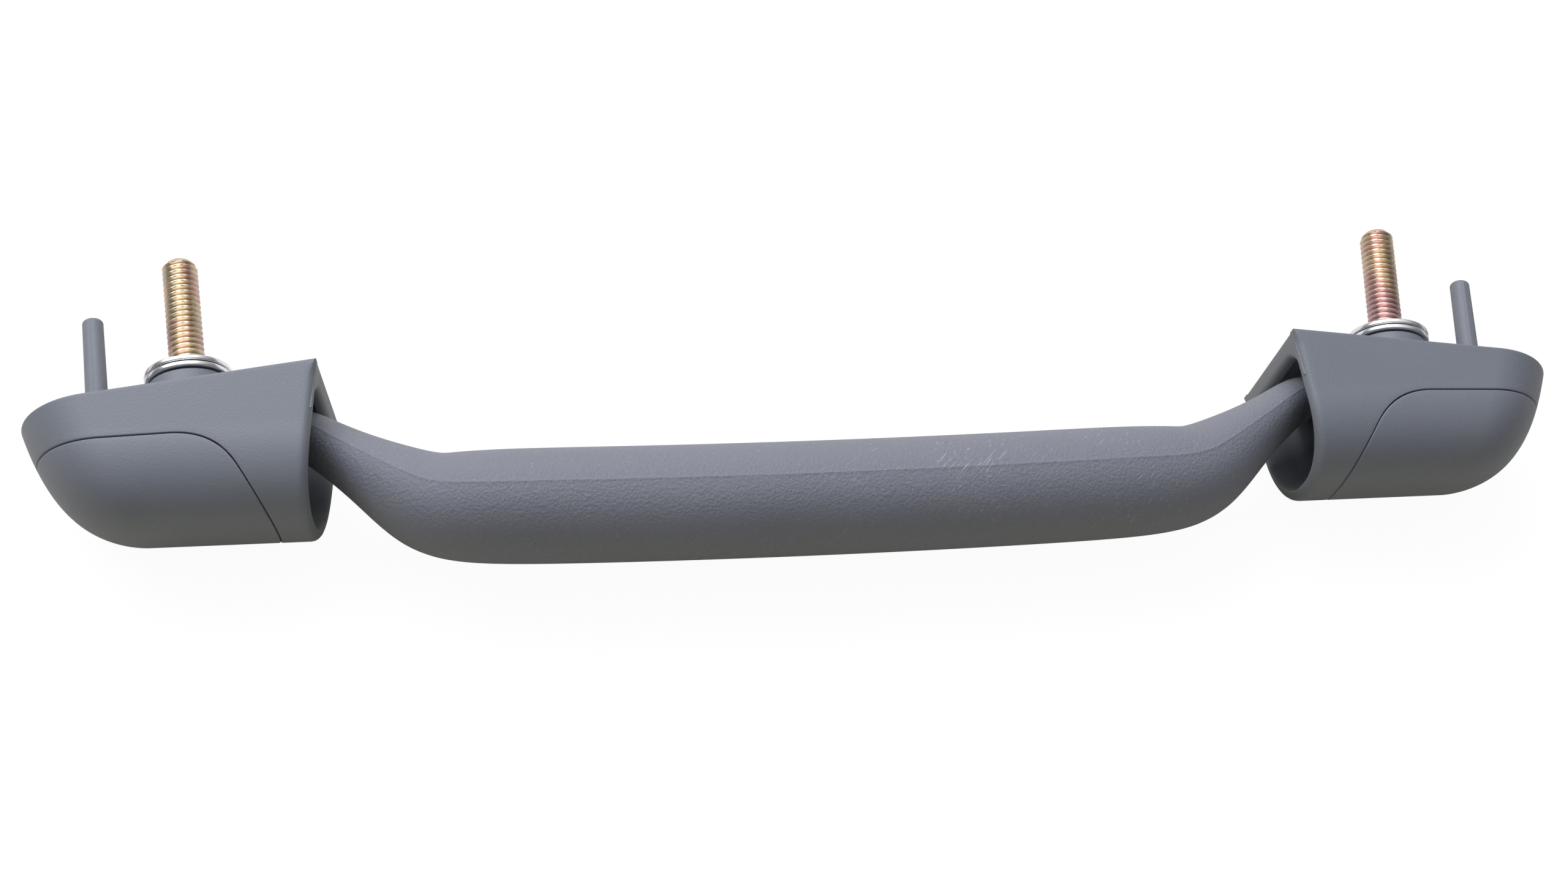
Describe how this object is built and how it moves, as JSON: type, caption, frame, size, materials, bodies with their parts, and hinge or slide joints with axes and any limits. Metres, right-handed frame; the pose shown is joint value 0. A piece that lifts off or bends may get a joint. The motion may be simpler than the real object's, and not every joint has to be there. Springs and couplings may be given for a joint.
{
  "type": "bed assist rail",
  "caption": "Grey plastic bed assist rail: a bowed grip between two capped end housings with bolts and locating pegs.",
  "frame": {"origin": "midway between the two end housings, at half width, level with the inner ends of the mounting rims", "axes": "+X along the rail, +Y into the wall that the rail bolts to, +Z across the grip's width"},
  "size_m": [0.3544, 0.0793, 0.0366],
  "materials": {
    "housing_plastic": "fine-grained, satin",
    "grip_plastic": "leather-grained, satin",
    "yellow_zinc": "yellow chromate zinc",
    "bright_zinc": "bright zinc",
    "steel": "dull, as rolled"
  },
  "bodies": {
    "rail": {"grip_cover": "grip_plastic", "grip_core": "steel", "left_housing": "housing_plastic", "right_housing": "housing_plastic", "left_spacer": "steel", "right_spacer": "steel"},
    "left_cap": {"left_cap": "housing_plastic"},
    "right_cap": {"right_cap": "housing_plastic"},
    "left_bolt": {"left_bolt": "yellow_zinc"},
    "right_bolt": {"right_bolt": "yellow_zinc"},
    "left_inner_washer": {"left_inner_washer": "bright_zinc"},
    "left_outer_washer": {"left_outer_washer": "bright_zinc"},
    "right_inner_washer": {"right_inner_washer": "bright_zinc"},
    "right_outer_washer": {"right_outer_washer": "bright_zinc"}
  },
  "joints": [
    {"name": "left_cap_pull", "type": "slide", "parent": "rail", "child": "left_cap", "axis": [-0.1323, -0.9912, 0], "range_m": [0, 0.03]},
    {"name": "right_cap_pull", "type": "slide", "parent": "rail", "child": "right_cap", "axis": [0.1323, -0.9912, 0], "range_m": [0, 0.03]},
    {"name": "left_bolt_turn", "type": "hinge", "parent": "rail", "child": "left_bolt", "pos_m": [-0.14143, -0.00403, 0], "axis": [-0.1323, 0.9912, 0], "continuous": true},
    {"name": "right_bolt_turn", "type": "hinge", "parent": "rail", "child": "right_bolt", "pos_m": [0.14143, -0.00403, 0], "axis": [0.1323, 0.9912, 0], "continuous": true},
    {"name": "left_inner_washer_slide", "type": "slide", "parent": "rail", "child": "left_inner_washer", "axis": [-0.1323, 0.9912, 0], "range_m": [0, 0.014]},
    {"name": "left_outer_washer_slide", "type": "slide", "parent": "left_inner_washer", "child": "left_outer_washer", "axis": [-0.1323, 0.9912, 0], "range_m": [0, 0.014]},
    {"name": "right_inner_washer_slide", "type": "slide", "parent": "rail", "child": "right_inner_washer", "axis": [0.1323, 0.9912, 0], "range_m": [0, 0.014]},
    {"name": "right_outer_washer_slide", "type": "slide", "parent": "right_inner_washer", "child": "right_outer_washer", "axis": [0.1323, 0.9912, 0], "range_m": [0, 0.014]}
  ]
}
